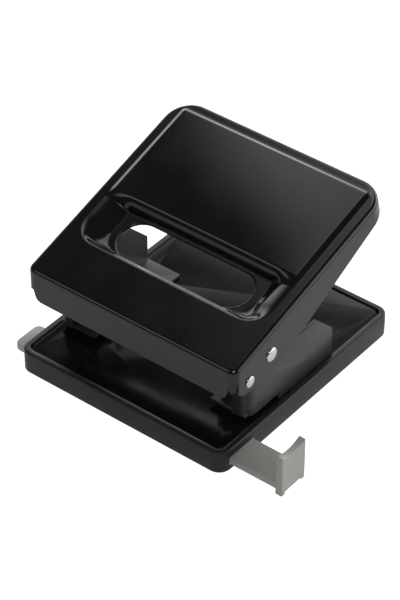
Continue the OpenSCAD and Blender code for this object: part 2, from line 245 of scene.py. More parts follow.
def dress(tree, shader, color, worn, dusty, rough, height, depth, rub_reach=0.12, cover=0.4,
          edge=0.0006):
    """Colour worn at the edges and under dust, roughness that varies, and a fine relief."""
    rubbed = use_group(tree, rub, Reach=rub_reach, Edge_radius=edge)
    dusted = use_group(tree, dust, Cover=cover)
    paint = wire(tree, "ShaderNodeMix", {"Factor": rubbed}, data_type="RGBA")
    paint.inputs[6].default_value, paint.inputs[7].default_value = (*color, 1), (*worn, 1)
    coat = wire(tree, "ShaderNodeMix", {"Factor": dusted}, data_type="RGBA")
    coat.inputs[7].default_value = (*dusty, 1)
    tree.links.new(paint.outputs[2], coat.inputs[6])
    tree.links.new(coat.outputs[2], shader.inputs["Base Color"])
    place = wire(tree, "ShaderNodeTexCoord").outputs["Object"]
    smear = wire(tree, "ShaderNodeTexNoise", {"Vector": place, "Scale": 55.0, "Detail": 4.0})
    gloss = wire(tree, "ShaderNodeMapRange", {"Value": smear.outputs["Fac"], "From Min": 0.3,
                                              "From Max": 0.7, "To Min": rough[0],
                                              "To Max": rough[1]})
    matt = wire(tree, "ShaderNodeMath", {0: dusted, 1: 0.35, 2: gloss.outputs[0]},
                operation="MULTIPLY_ADD")
    tree.links.new(matt.outputs[0], shader.inputs["Roughness"])
    bump = wire(tree, "ShaderNodeBump", {"Height": height, "Strength": 0.5, "Distance": depth})
    tree.links.new(bump.outputs[0], shader.inputs["Normal"])


tray_plastic, tree, shader = finish("tray_plastic", (0.012, 0.012, 0.013), 0.42,
                                    Specular_IOR_Level=0.42)
dress(tree, shader, (0.008, 0.008, 0.0085), (0.03, 0.03, 0.032), (0.10, 0.10, 0.10),
      (0.30, 0.42), use_group(tree, grain), 0.00006, cover=0.05)


def plain_mesh(name, verts, faces, material, smooth=35.0):
    """An object from corners and faces, smooth but for edges sharper than this."""
    mesh = bpy.data.meshes.new(name)
    mesh.from_pydata([tuple(v) for v in verts], [], [tuple(f) for f in faces])
    mesh.materials.append(material)
    mesh.shade_smooth()
    mesh.set_sharp_from_angle(angle=math.radians(smooth))
    piece = bpy.data.objects.new(name, mesh)
    bpy.context.collection.objects.link(piece)
    return piece


def block(low, high):
    """Corners and faces of a box between two corners."""
    corners = [(x, y, z) for z in (low[2], high[2]) for x, y in
               ((low[0], low[1]), (high[0], low[1]), (high[0], high[1]), (low[0], high[1]))]
    return corners, [(3, 2, 1, 0), (4, 5, 6, 7), (0, 1, 5, 4), (1, 2, 6, 5), (2, 3, 7, 6),
                     (3, 0, 4, 7)]


def helper_object(name, solids):
    """Several solids in one object that only a modifier reads."""
    verts, faces = [], []
    for corners, sides in solids:
        faces += [tuple(i + len(verts) for i in side) for side in sides]
        verts += corners
    mesh = bpy.data.meshes.new(name)
    mesh.from_pydata(verts, [], faces)
    helper = bpy.data.objects.new(name, mesh)
    bpy.context.collection.objects.link(helper)
    return helper


def geometry_tree(name, inputs):
    """A geometry tree with its named inputs, each given as (kind, value)."""
    tree = bpy.data.node_groups.new(name, "GeometryNodeTree")
    sockets = {}
    for label, (kind, value) in inputs.items():
        sockets[label] = tree.interface.new_socket(label, in_out="INPUT",
                                                   socket_type="NodeSocket" + kind)
        if value is not None:
            sockets[label].default_value = value
    tree.interface.new_socket("Geometry", in_out="OUTPUT", socket_type="NodeSocketGeometry")
    return tree, tree.nodes.new("NodeGroupInput").outputs


def end_tree(tree, geometry, given):
    """Real geometry with its material, as every tree here ends."""
    real = wire(tree, "GeometryNodeRealizeInstances", {0: geometry})
    named = wire(tree, "GeometryNodeSetMaterial", {"Geometry": real.outputs[0],
                                                   "Material": given["Material"]})
    tree.links.new(named.outputs[0], tree.nodes.new("NodeGroupOutput").inputs[0])


def grown(name, tree, values, smooth=35.0):
    """The plain mesh that a geometry tree makes from these values."""
    seed = bpy.data.objects.new(name + "_seed", bpy.data.meshes.new(name + "_seed"))
    bpy.context.collection.objects.link(seed)
    modifier = seed.modifiers.new("grow", "NODES")
    modifier.node_group = tree
    for item in tree.interface.items_tree:
        if item.in_out == "INPUT" and item.name in values:
            modifier[item.identifier] = values[item.name]
    graph = bpy.context.evaluated_depsgraph_get()
    mesh = bpy.data.meshes.new_from_object(seed.evaluated_get(graph))
    seed.modifiers.remove(modifier)
    bpy.data.objects.remove(seed)
    mesh.name = name
    shape = bmesh.new()
    shape.from_mesh(mesh)
    bmesh.ops.remove_doubles(shape, verts=shape.verts, dist=1e-7)
    bmesh.ops.recalc_face_normals(shape, faces=shape.faces)
    shape.to_mesh(mesh)
    shape.free()
    mesh.shade_smooth()
    mesh.set_sharp_from_angle(angle=math.radians(smooth))
    piece = bpy.data.objects.new(name, mesh)
    bpy.context.collection.objects.link(piece)
    return piece


tray_low, tray_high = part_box("chip_tray")
plate_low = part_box("base_plate")[0]
guide_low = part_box("paper_guide")[0]
tray_wall = 5.0 * MM            # rim and ledge together
tray_floor = 2.0 * MM
tray_corner = 6.0 * MM
tray_size = tray_high - tray_low

# The wall in section, inwards from the outer face: rounded top and foot, and the plate's ledge
top, ledge = tray_size[2], plate_low[2]
wall_section = [(0.0, 0.0), (4.4, 0.0), (4.75, 0.12), (4.93, 0.32), (5.0, 0.6)]
wall_section += [(5.0, top / MM - 0.9), (4.93, top / MM - 0.5), (4.72, top / MM - 0.22),
                 (4.4, top / MM - 0.05), (4.05, top / MM)]
wall_section += [(2.5, top / MM), (2.22, top / MM - 0.08), (2.05, top / MM - 0.28),
                 (2.0, top / MM - 0.55)]
wall_section += [(2.0, ledge / MM), (0.3, ledge / MM), (0.0, ledge / MM - 0.3), (0.0, 2.0)]
section_curve = bpy.data.curves.new("wall_section", "CURVE")
line = section_curve.splines.new("POLY")
line.points.add(len(wall_section) - 1)
for point, (out, height) in zip(line.points, wall_section):
    point.co = (out * MM, -height * MM, 0, 1)
section_object = bpy.data.objects.new("wall_section", section_curve)
bpy.context.collection.objects.link(section_object)

guide_wide, slot_play, slot_half = 16 * MM, 0.3 * MM, 6.5 * MM
slot_foot, slot_top = 3.2 * MM, 7.1 * MM
cuts = [block((side * tray_high[0] - slot_half, guide_low[1] - slot_play, slot_foot),
              (side * tray_high[0] + slot_half, guide_low[1] + guide_wide + slot_play, slot_top))
        for side in (-1, 1)]
slot_cutter = helper_object("guide_slots", cuts)
rib_end, rib_foot, rib_top, rib_wide = 4.5 * MM, 1.5 * MM, 3.3 * MM, 1.5
ribs = [block((tray_low[0] + rib_end, guide_low[1] + y * MM, rib_foot),
              (tray_high[0] - rib_end, guide_low[1] + (y + rib_wide) * MM, rib_top))
        for y in (2.0, 12.5)]
rib_object = helper_object("guide_ribs", ribs)

tray_tree, given = geometry_tree("walled_tray", {
    "Inner width": ("Float", 0.1), "Inner depth": ("Float", 0.1), "Inner corner": ("Float", 0.001),
    "Floor": ("Float", 0.002), "Wall section": ("Object", None), "Material": ("Material", None)})
outline = wire(tray_tree, "GeometryNodeCurvePrimitiveQuadrilateral",
               {"Width": given["Inner width"], "Height": given["Inner depth"]})
rounded = wire(tray_tree, "GeometryNodeFilletCurve",
               {"Curve": outline.outputs[0], "Radius": given["Inner corner"], "Count": 12},
               mode="POLY")
path = wire(tray_tree, "GeometryNodeSetCurveNormal", {"Curve": rounded.outputs[0]}, mode="Z_UP")
section = wire(tray_tree, "GeometryNodeObjectInfo", {"Object": given["Wall section"]})
wall = wire(tray_tree, "GeometryNodeCurveToMesh",
            {"Curve": path.outputs[0], "Profile Curve": section.outputs["Geometry"]})
sheet = wire(tray_tree, "GeometryNodeFillCurve", {"Curve": rounded.outputs[0]}, mode="NGONS")
lift = wire(tray_tree, "ShaderNodeCombineXYZ", {"Z": given["Floor"]})
upper = wire(tray_tree, "GeometryNodeTransform", {"Geometry": sheet.outputs[0],
                                                  "Translation": lift.outputs[0]})
shell = wire(tray_tree, "GeometryNodeJoinGeometry", {0: wall.outputs[0]})
tray_tree.links.new(sheet.outputs[0], shell.inputs[0])
tray_tree.links.new(upper.outputs[0], shell.inputs[0])
closed = wire(tray_tree, "GeometryNodeMergeByDistance", {"Geometry": shell.outputs[0],
                                                         "Distance": 1e-6})
end_tree(tray_tree, closed.outputs[0], given)

tray = grown("tray_moulding", tray_tree, {
    "Inner width": tray_size[0] - 2 * tray_wall, "Inner depth": tray_size[1] - 2 * tray_wall,
    "Inner corner": tray_corner - tray_wall, "Floor": tray_floor,
    "Wall section": section_object, "Material": tray_plastic})


def carve(piece, cutter, operation="DIFFERENCE", smooth=35.0):
    """Cuts or adds another object's solids, then puts the cutter away."""
    modifier = piece.modifiers.new("carve", "BOOLEAN")
    modifier.operation, modifier.object, modifier.solver = operation, cutter, "EXACT"
    graph = bpy.context.evaluated_depsgraph_get()
    mesh = bpy.data.meshes.new_from_object(piece.evaluated_get(graph))
    piece.modifiers.remove(modifier)
    piece.data = mesh
    mesh.shade_smooth()
    mesh.set_sharp_from_angle(angle=math.radians(smooth))
    bpy.data.objects.remove(cutter)


carve(tray, rib_object, "UNION")
carve(tray, slot_cutter)
bpy.data.objects.remove(section_object)
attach(tray, "tray")
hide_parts("chip_tray")


# ---- Rubber feet ----
# Four soft black rubber pads under the tray, moulded with an eased edge; they wear dusty round the
# edge.
def turned(profile, sides=48, axis="Z"):
    """A solid turned about an axis from (radius, place along it); it starts and ends on it."""
    verts, faces, rings = [], [], []
    for radius, along in profile:
        if radius == 0:
            rings.append([len(verts)])
            verts.append((0, 0, along))
        else:
            rings.append(list(range(len(verts), len(verts) + sides)))
            verts += [(radius * math.cos(2 * math.pi * i / sides),
                       radius * math.sin(2 * math.pi * i / sides), along) for i in range(sides)]
    for low, high in zip(rings, rings[1:]):
        for i in range(sides):
            j = (i + 1) % sides
            if len(low) == 1:
                faces.append((low[0], high[j], high[i]))
            elif len(high) == 1:
                faces.append((low[i], low[j], high[0]))
            else:
                faces.append((low[i], low[j], high[j], high[i]))
    if axis == "X":
        verts = [(z, x, y) for x, y, z in verts]
    return verts, faces


rows_tree, given = geometry_tree("two_rows_of_two", {
    "Piece": ("Object", None), "Across": ("Float", 0.08), "Along": ("Float", 0.08),
    "Middle": ("Vector", (0.0, 0.0, 0.0)), "Material": ("Material", None)})
places = wire(rows_tree, "GeometryNodeMeshGrid", {"Size X": given["Across"],
                                                  "Size Y": given["Along"],
                                                  "Vertices X": 2, "Vertices Y": 2})
placed = wire(rows_tree, "GeometryNodeTransform", {"Geometry": places.outputs[0],
                                                   "Translation": given["Middle"]})
points = wire(rows_tree, "GeometryNodeMeshToPoints", {"Mesh": placed.outputs[0]})
single = wire(rows_tree, "GeometryNodeObjectInfo", {"Object": given["Piece"]})
copies = wire(rows_tree, "GeometryNodeInstanceOnPoints",
              {"Points": points.outputs[0], "Instance": single.outputs["Geometry"]})
end_tree(rows_tree, copies.outputs[0], given)

rubber, tree, shader = finish("rubber", (0.02, 0.02, 0.021), 0.8, Specular_IOR_Level=0.25)
dress(tree, shader, (0.018, 0.018, 0.019), (0.06, 0.058, 0.055), (0.12, 0.12, 0.11),
      (0.7, 0.85), use_group(tree, grain, Pits_per_metre=3600.0), 0.00005)

foot_low, foot_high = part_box("rubber_feet")
foot_radius = 6.0 * MM
foot_solid = helper_object("foot_solid", [turned(
    [(0, 0), (foot_radius - 0.5 * MM, 0), (foot_radius - 0.15 * MM, 0.15 * MM),
     (foot_radius, 0.5 * MM), (foot_radius, foot_high[2] - foot_low[2]),
     (0, foot_high[2] - foot_low[2])])])
feet = grown("foot_pads", rows_tree, {
    "Piece": foot_solid, "Across": foot_high[0] - foot_low[0] - 2 * foot_radius,
    "Along": foot_high[1] - foot_low[1] - 2 * foot_radius,
    "Middle": (0.0, 0.0, foot_low[2]), "Material": rubber})
bpy.data.objects.remove(foot_solid)
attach(feet, "tray")
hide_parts("rubber_feet")


# ---- Base plate ----
# Pressed steel in gloss black enamel. It snaps into the tray's rim, and the two die holes in it
# shear the paper.
def eased(name, node, material, radius, segments=2, smooth=40.0, sharp=30.0):
    """A copy of a CAD solid with its sharp edges rounded, as real edges are."""
    shape = bmesh.new()
    shape.from_mesh(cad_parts[node].data)
    bmesh.ops.remove_doubles(shape, verts=shape.verts, dist=2e-6)
    bmesh.ops.dissolve_limit(shape, angle_limit=math.radians(0.6), verts=shape.verts,
                             edges=shape.edges)
    edges = [e for e in shape.edges if len(e.link_faces) == 2
             and e.calc_face_angle(0) > math.radians(sharp)]
    bmesh.ops.bevel(shape, geom=edges, offset=radius, offset_type="OFFSET", segments=segments,
                    profile=0.5, affect="EDGES", clamp_overlap=True, miter_outer="SHARP")
    mesh = bpy.data.meshes.new(name)
    shape.to_mesh(mesh)
    shape.free()
    mesh.materials.clear()
    mesh.materials.append(material)
    mesh.shade_smooth()
    mesh.set_sharp_from_angle(angle=math.radians(smooth))
    piece = bpy.data.objects.new(name, mesh)
    bpy.context.collection.objects.link(piece)
    return piece


# Ripple: the skin that sprayed enamel dries with
ripple, given, place = shader_group("enamel_ripple", {"Ripples per metre": 900.0,
                                                      "Swell per metre": 45.0, "Swell": 1.5})
fine = wire(ripple, "ShaderNodeTexNoise", {"Vector": place, "Scale": given["Ripples per metre"],
                                           "Detail": 1.0})
swell = wire(ripple, "ShaderNodeTexNoise", {"Vector": place, "Scale": given["Swell per metre"],
                                            "Detail": 1.0})
both = wire(ripple, "ShaderNodeMath", {0: swell.outputs["Fac"], 1: given["Swell"],
                                       2: fine.outputs["Fac"]}, operation="MULTIPLY_ADD")
group_result(ripple, "Height", both.outputs[0])

base_enamel, tree, shader = finish("base_enamel", (0.006, 0.006, 0.007), 0.2,
                                   Specular_IOR_Level=0.2)
dress(tree, shader, (0.0045, 0.0045, 0.005), (0.06, 0.06, 0.065), (0.09, 0.09, 0.09),
      (0.12, 0.20), use_group(tree, ripple), 0.00002, cover=0.012)
plate = eased("plate_pressing", "base_plate", base_enamel, 0.45 * MM, segments=3)
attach(plate, "mechanism")
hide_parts("base_plate")


# ---- Brackets ----
# Folded steel in satin blue-grey enamel: cheek, front return, web over the paper, stop and foot
# are one blank each, riveted to the base plate.
bracket_enamel, tree, shader = finish("bracket_enamel", (0.04, 0.041, 0.045), 0.34,
                                      Specular_IOR_Level=0.5)
dress(tree, shader, (0.034, 0.035, 0.040), (0.13, 0.135, 0.14), (0.12, 0.12, 0.13),
      (0.30, 0.40), use_group(tree, ripple, Ripples_per_metre=1400.0), 0.00002, cover=0.06)
for side in ("left", "right"):
    bracket = eased(side + "_bracket_folding", side + "_bracket", bracket_enamel, 0.35 * MM,
                    segments=3)
    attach(bracket, "mechanism")
    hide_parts(side + "_bracket")


# ---- Bracket rivets ----
# Four steel rivets, two through each bracket's foot: domed on top of the foot, and formed flat
# under the base plate.
def worn_steel(name, color, rough, streaks=900.0):
    """Bare or plated steel: its colour drifts a little, and fine scratches catch the light."""
    material, tree, shader = finish(name, color, rough[0], 1.0)
    place = wire(tree, "ShaderNodeTexCoord").outputs["Object"]
    drift = wire(tree, "ShaderNodeTexNoise", {"Vector": place, "Scale": 240.0, "Detail": 4.0})
    tint = wire(tree, "ShaderNodeMix", {"Factor": drift.outputs["Fac"]}, data_type="RGBA")
    tint.inputs[6].default_value = (*[0.82 * c for c in color], 1)
    tint.inputs[7].default_value = (*color, 1)
    tree.links.new(tint.outputs[2], shader.inputs["Base Color"])
    stretch = wire(tree, "ShaderNodeMapping", {"Vector": place, "Scale": (1.0, 6.0, 6.0)})
    scratch = wire(tree, "ShaderNodeTexNoise", {"Vector": stretch.outputs[0], "Scale": streaks,
                                                "Detail": 3.0, "Roughness": 0.6})
    gloss = wire(tree, "ShaderNodeMapRange", {"Value": scratch.outputs["Fac"], "From Min": 0.35,
                                              "From Max": 0.65, "To Min": rough[0],
                                              "To Max": rough[1]})
    tree.links.new(gloss.outputs[0], shader.inputs["Roughness"])
    bump = wire(tree, "ShaderNodeBump", {"Height": scratch.outputs["Fac"], "Strength": 0.25,
                                         "Distance": 0.00003})
    tree.links.new(bump.outputs[0], shader.inputs["Normal"])
    return material


rivet_steel = worn_steel("rivet_steel", (0.78, 0.78, 0.80), (0.16, 0.30))
low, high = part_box("bracket_rivets")
rivet_spacing = 84 * MM         # from the left pair to the right pair
head = (high[0] - low[0] - rivet_spacing) / 2
tall = high[2] - low[2]
shank = 2.0 * MM
rivet_solid = helper_object("rivet_solid", [turned(
    [(0, 0), (head - 0.25 * MM, 0), (head, 0.2 * MM), (head, 0.65 * MM),
     (head - 0.1 * MM, 0.8 * MM), (shank, 0.8 * MM), (shank, tall - 1.2 * MM),
     (head, tall - 1.2 * MM), (head - 0.05 * MM, tall - 0.95 * MM),
     (head * 0.86, tall - 0.6 * MM), (head * 0.62, tall - 0.28 * MM),
     (head * 0.32, tall - 0.07 * MM), (0, tall)])])
rivets = grown("bracket_rivet_set", rows_tree, {
    "Piece": rivet_solid, "Across": high[0] - low[0] - 2 * head,
    "Along": high[1] - low[1] - 2 * head,
    "Middle": (0.0, (low[1] + high[1]) / 2, low[2]), "Material": rivet_steel}, smooth=40.0)
bpy.data.objects.remove(rivet_solid)
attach(rivets, "mechanism")
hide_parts("bracket_rivets")


# ---- Guide straps, punches and clips ----
# The straps are bent from zinc plated strip and staked into the webs. The punches are hardened
# and ground, and a plated clip snaps into each punch's groove.
zinc_steel = worn_steel("zinc_steel", (0.50, 0.51, 0.54), (0.28, 0.42), 500.0)
punch_steel = worn_steel("punch_steel", (0.70, 0.71, 0.73), (0.12, 0.22), 1600.0)
for side in ("left", "right"):
    for part, body, steel, slot_name, radius in (
            ("guide_strap", "mechanism", zinc_steel, "zinc_steel", 0.3 * MM),
            ("punch", side + "_pin", punch_steel, "punch_steel", 0.12 * MM),
            ("retaining_clip", side + "_pin", zinc_steel, "zinc_steel", 0.1 * MM)):
        piece = eased(f"{side}_{part}_part", f"{side}_{part}", steel, radius)
        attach(piece, body)
        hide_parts(f"{side}_{part}")


# ---- Springs ----
# Round spring wire, coiled with its end turns closed. They push the punches and the lever up.
spring_steel = worn_steel("spring_steel", (0.62, 0.62, 0.65), (0.18, 0.32), 700.0)
spring_tree, given = geometry_tree("closed_end_spring", {
    "Turns": ("Float", 6.5), "Coil radius": ("Float", 0.0036), "Wire radius": ("Float", 0.0004),
    "Rise": ("Float", 0.013), "Seat": ("Vector", (0.0, 0.0, 0.0)), "Material": ("Material", None)})
helix = wire(spring_tree, "GeometryNodeCurveSpiral",
             {"Resolution": 28, "Rotations": given["Turns"], "Start Radius": given["Coil radius"],
              "End Radius": given["Coil radius"], "Height": given["Rise"]})
along = wire(spring_tree, "GeometryNodeSplineParameter").outputs["Factor"]
angle = wire(spring_tree, "ShaderNodeMath", {0: along, 1: 2 * math.pi}, operation="MULTIPLY")
wave = wire(spring_tree, "ShaderNodeMath", {0: angle.outputs[0]}, operation="SINE")
end_closing = 0.06              # share of the rise by which the end turns draw in
closing = wire(spring_tree, "ShaderNodeMath", {0: wave.outputs[0], 1: -end_closing},
               operation="MULTIPLY")
close_up = wire(spring_tree, "ShaderNodeMath", {0: closing.outputs[0], 1: given["Rise"]},
                operation="MULTIPLY")
offset = wire(spring_tree, "ShaderNodeCombineXYZ", {"Z": close_up.outputs[0]})
bent = wire(spring_tree, "GeometryNodeSetPosition", {"Geometry": helix.outputs[0],
                                                     "Offset": offset.outputs[0]})
wire_round = wire(spring_tree, "GeometryNodeCurvePrimitiveCircle",
                  {"Resolution": 12, "Radius": given["Wire radius"]})
wound = wire(spring_tree, "GeometryNodeCurveToMesh",
             {"Curve": bent.outputs[0], "Profile Curve": wire_round.outputs[0],
              "Fill Caps": True})
seated = wire(spring_tree, "GeometryNodeTransform", {"Geometry": wound.outputs[0],
                                                     "Translation": given["Seat"]})
end_tree(spring_tree, seated.outputs[0], given)
punch_x = 40 * MM
spring_turns = 6.5
wire_radius = 0.4 * MM
for side in ("left", "right"):
    low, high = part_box(side + "_spring")
    middle = (low + high) / 2
    tall = high[2] - low[2]
    spring = grown(side + "_spring_coil", spring_tree, {
        "Turns": spring_turns, "Coil radius": (high[1] - low[1]) / 2 - wire_radius,
        "Wire radius": wire_radius, "Rise": tall - 2 * wire_radius,
        "Seat": (-punch_x if side == "left" else punch_x, middle[1], low[2] + wire_radius),
        "Material": spring_steel}, smooth=60.0)
    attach(spring, "mechanism")
    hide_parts(side + "_spring")
    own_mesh(spring)


# ---- Lever ----
# One pressing of 1.2 mm steel in gloss black enamel: front lip, trough with a slot through it,
# crowned pad for the hand, and flanges all round. It turns on the two pivot rivets.
lever_low, lever_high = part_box("lever")
pitch = math.radians(16.5)
lever_long = 110.5
lever_half = lever_high[0] / MM
steel = 1.2                     # thickness; all the lever's own sizes are in millimetres
lever_y = lever_low[1] / MM
lever_z = lever_high[2] / MM - lever_long * math.sin(pitch)
tray_front = tray_low[1] / MM
corner_front, corner_back = 4.0, 13.0
round_over = 2.2                # radius from the top into the flanges
trough_front, trough_half, trough_corner, trough_deep = 23.7, 51.0, 12.0, 5.0
pad_s, pad_half, pad_rise = (48.5, 106.0), 51.4, 2.0
scoop_slope, scoop_more = 4.6, 12.0     # run of the trough's side, and what its ends add
scoop_x, scoop_s, scoop_run = 30.0, 24.0, 14.0      # where the ends' gentler side sets in
pad_slope, pad_side = 5.2, 3.0          # run of the pad's front and of its other sides
slot_centre, slot_radius, slot_reach = 38.0, 10.0, 25.0
slot_roll = 0.6                 # radius rolled over the slot's edge


def smooth_step(t):
    """0 to 1 with flat ends."""
    t = np.clip(t, 0.0, 1.0)
    return t * t * (3 - 2 * t)


def pressed_height(x, s):
    """Height of the steel's top above the slope's plane, without the slot's rolled edge."""
    x = np.abs(x)
    over_x = x - (trough_half - trough_corner)
    over_s = trough_front + trough_corner - s
    within = (trough_corner - np.hypot(np.maximum(over_x, 0), np.maximum(over_s, 0))
              - np.minimum(np.maximum(over_x, over_s), 0))
    ramp = (scoop_slope + scoop_more * smooth_step((x - scoop_x) / scoop_run)
            * smooth_step((s - scoop_s) / scoop_run))
    behind = np.sin(math.pi / 2 * np.clip((s - pad_s[0]) / pad_slope, 0, 1))
    trough = smooth_step(within / ramp) * (1 - behind)
    rise = (smooth_step((pad_half - x) / pad_side) * behind
            * smooth_step((pad_s[1] - s) / pad_side))
    middle, reach = sum(pad_s) / 2, (pad_s[1] - pad_s[0]) / 2
    crown = np.clip(1 - (x / pad_half) ** 2, 0, 1) * np.clip(1 - ((s - middle) / reach) ** 2, 0, 1)
    return -trough_deep * trough + pad_rise * rise * (0.5 + 0.5 * crown)


def from_slot(x, s):
    """Distance outside the slot's edge, and the direction away from it."""
    dx = x - np.clip(x, -slot_reach, slot_reach)
    ds = s - slot_centre
    far = np.maximum(np.hypot(dx, ds), 1e-9)
    return far - slot_radius, dx / far, ds / far


# The outline of the top, anticlockwise from the front left, with each place's outward direction
columns = []
front_x = [0, 4, 8, 12, 16, 20, 24, 28, 32, 36, 40, 43, 46, 48.5, 49.5, 50.4, 51.0, 51.5]
front_x = [-x for x in reversed(front_x[1:])] + front_x
columns += [(x, 0.0, 0.0, -1.0) for x in front_x]


def corner(cx, cs, r, start, angles):
    """Adds the outline's places round one corner, at these angles from its start."""
    for a in angles:
        a = math.radians(start + a)
        columns.append((cx + r * math.cos(a), cs + r * math.sin(a), math.cos(a), math.sin(a)))


front_turn = [7.2, 9.5, 20, 30, 40, 50, 60, 70, 80]
corner(lever_half - corner_front, corner_front, corner_front, -90, front_turn)
side_s = list(np.linspace(corner_front, lever_long - corner_back, 49))
columns += [(lever_half, s, 1.0, 0.0) for s in side_s]
back_turn = list(np.arange(5, 90, 5))
corner(lever_half - corner_back, lever_long - corner_back, corner_back, 0, back_turn)
back_x = list(np.linspace(lever_half - corner_back, -lever_half + corner_back, 41))
columns += [(x, lever_long, 0.0, 1.0) for x in back_x]
corner(-lever_half + corner_back, lever_long - corner_back, corner_back, 90, back_turn)
columns += [(-lever_half, s, -1.0, 0.0) for s in reversed(side_s)]
corner(-lever_half + corner_front, corner_front, corner_front, 180,
       [90 - a for a in reversed(front_turn)])


def to_yz(s, n):
    """Place in the frame of a point s along the slope and n above it."""
    return (lever_y + s * math.cos(pitch) - n * math.sin(pitch),
            lever_z + s * math.sin(pitch) + n * math.cos(pitch))


# Lower edge of the flanges in side view, and of the front lip across it
back_flange = 8.0
rear_y, rear_z = to_yz(lever_long, -back_flange)
edge_y = [tray_front + 8.0, tray_front + 9.2, tray_front + 12.4, tray_front + 15.0,
          tray_front + 18.0, tray_front + 22.0, tray_front + 30.0, tray_front + 36.5,
          tray_front + 43.5, rear_y]
edge_z = [40.3, 39.3, 36.4, 35.2, 34.8, 34.85, 35.6, 36.4, 38.7, rear_z]
lip_bottom, lip_half, lip_round, lip_reach = 34.7, 52.0, 3.5, 8.5
bend_steps, wall_steps = 8, 8
edge_round, edge_cut = 0.3, 0.09        # the sheared edge, and what its rounding takes off
lean_start, lean_run = 6.0, 70.0        # the flanges turn from square to upright over this run
deepest_flange = 70.0


def lowest(x, y):
    """Height of the flange's lower edge at one place."""
    reach = abs(x) - (lip_half - lip_round)
    if abs(x) <= lip_half + 1e-6 and y < tray_front + lip_reach:
        return lip_bottom + (lip_round - math.sqrt(lip_round ** 2 - reach ** 2) if reach > 0
                             else 0.0)
    return float(np.interp(y, edge_y, edge_z))


def flange_column(x, s, ox, os):
    """Places down one column of the flange, from the top's edge, with the steel's outward side."""
    down_share = float(smooth_step((s - lean_start) / lean_run))
    lean = pitch * (1 - down_share)
    down = np.array([0.0, -math.sin(lean), -math.cos(lean)])
    inward = np.array([-ox, -os, 0.0])
    apart = math.acos(float(np.clip(inward @ down, -1, 1)))
    up = np.array([0.0, 0.0, 1.0])
    across = inward - down * (inward @ down)
    wall = -across / np.linalg.norm(across)
    corner_point = np.array([x, s, 0.0])
    half_way = (inward + down) / np.linalg.norm(inward + down)
    centre = corner_point + half_way * round_over / math.sin(apart / 2)
    swing = math.pi - apart
    rows = []
    for k in range(bend_steps + 1):
        t = k / bend_steps
        normal = (math.sin((1 - t) * swing) * up + math.sin(t * swing) * wall) / math.sin(swing)
        rows.append((centre + round_over * normal, normal))
    start = rows[-1][0]
    near, far = 0.0, deepest_flange
    for halving in range(40):
        t = (near + far) / 2
        y, z = to_yz(*(start + down * t)[1:])
        near, far = (t, far) if z > lowest(x, y) else (near, t)
    depth = near
    for k in range(1, wall_steps + 1):
        rows.append((start + down * (depth - edge_round) * k / wall_steps, wall))
    under = start + down * depth
    rows.append((under - down * edge_cut - wall * edge_cut, (wall + down) / math.sqrt(2)))
    rows.append((under - wall * edge_round, down))
    rows.append((under - wall * (steel - edge_round), down))
    rows.append((under - down * edge_round - wall * steel, -wall))
    for point, normal in reversed(rows[1:bend_steps + wall_steps]):
        rows.append((point - steel * normal, -normal))
    return rows


flanges = [flange_column(*c) for c in columns]
n_cols, n_rows = len(flanges), len(flanges[0])
rim = np.array([f[0][0][:2] for f in flanges])

# The top between that outline and the slot: rings round the slot and a grid that is closer
# where the steel bends
slot_rings = [0.0, 0.05, 0.17, 0.35, 0.6, 1.0]
n_slot = 120
ring_points = []
length = 4 * slot_reach + 2 * math.pi * slot_radius
for e in slot_rings:
    for i in range(n_slot):
        d = (i + 0.5) / n_slot * length
        r = slot_radius + e
        if d < 2 * slot_reach:
            ring_points.append((-slot_reach + d, slot_centre - r))
        elif d < 2 * slot_reach + math.pi * slot_radius:
            a = (d - 2 * slot_reach) / slot_radius - math.pi / 2
            ring_points.append((slot_reach + r * math.cos(a), slot_centre + r * math.sin(a)))
        elif d < 4 * slot_reach + math.pi * slot_radius:
            ring_points.append((slot_reach - (d - 2 * slot_reach - math.pi * slot_radius),
                                slot_centre + r))
        else:
            a = (d - 4 * slot_reach - math.pi * slot_radius) / slot_radius + math.pi / 2
            ring_points.append((-slot_reach + r * math.cos(a), slot_centre + r * math.sin(a)))


def lines(*stretches):
    """Places along a grid, from stretches given as (start, end, spacing)."""
    out = []
    for start, end, step in stretches:
        even = (end - start) / max(1, round((end - start) / step))
        out += list(np.arange(start, end - 1e-6, even))
    return np.array(out + [stretches[-1][1]])


right_x = lines((0, 28, 2.0), (28, 35, 0.8), (35, 52, 0.5), (52, lever_half, 0.8))
grid_x = np.concatenate([-right_x[:0:-1], right_x])
grid_s = lines((0, 21, 1.6), (21, 23.4, 0.6), (23.4, 28.8, 0.4), (28.8, 47.5, 0.9),
               (47.5, 48.5, 0.3), (48.5, 54.5, 0.35), (54.5, 62, 0.8), (62, 98, 1.2),
               (98, 107, 0.4), (107, lever_long, 0.8))
gx, gs = [a.ravel() for a in np.meshgrid(grid_x, grid_s)]
inset = round_over + 0.5
slot_clear = 1.4                # the grid stays this far from the slot, where the rings are
qx = np.abs(gx) - (lever_half - inset - (corner_back - inset))
qs = gs - (lever_long - corner_back)
inside_corner = ~((qx > 0) & (qs > 0) & (np.hypot(qx, qs) > corner_back - inset))
inside = ((np.abs(gx) < lever_half - inset) & (gs < lever_long - inset) & (gs > inset)
          & inside_corner & (from_slot(gx, gs)[0] > slot_clear))
plan = [tuple(p) for p in rim] + ring_points + list(zip(gx[inside], gs[inside]))
fixed = [(i, (i + 1) % n_cols) for i in range(n_cols)]
fixed += [(n_cols + i, n_cols + (i + 1) % n_slot) for i in range(n_slot)]
found = delaunay_2d_cdt([Vector((float(x), float(s))) for x, s in plan], fixed, [], 0, 1e-7)
assert len(found[0]) == len(plan), "the lever's plan changed while it was divided"
plan = np.array([tuple(v) for v in found[0]])
cells = []
for cell in found[2]:
    if not all(n_cols <= i < n_cols + n_slot for i in cell):
        cells.append(tuple(cell))
px, ps = plan[:, 0], plan[:, 1]
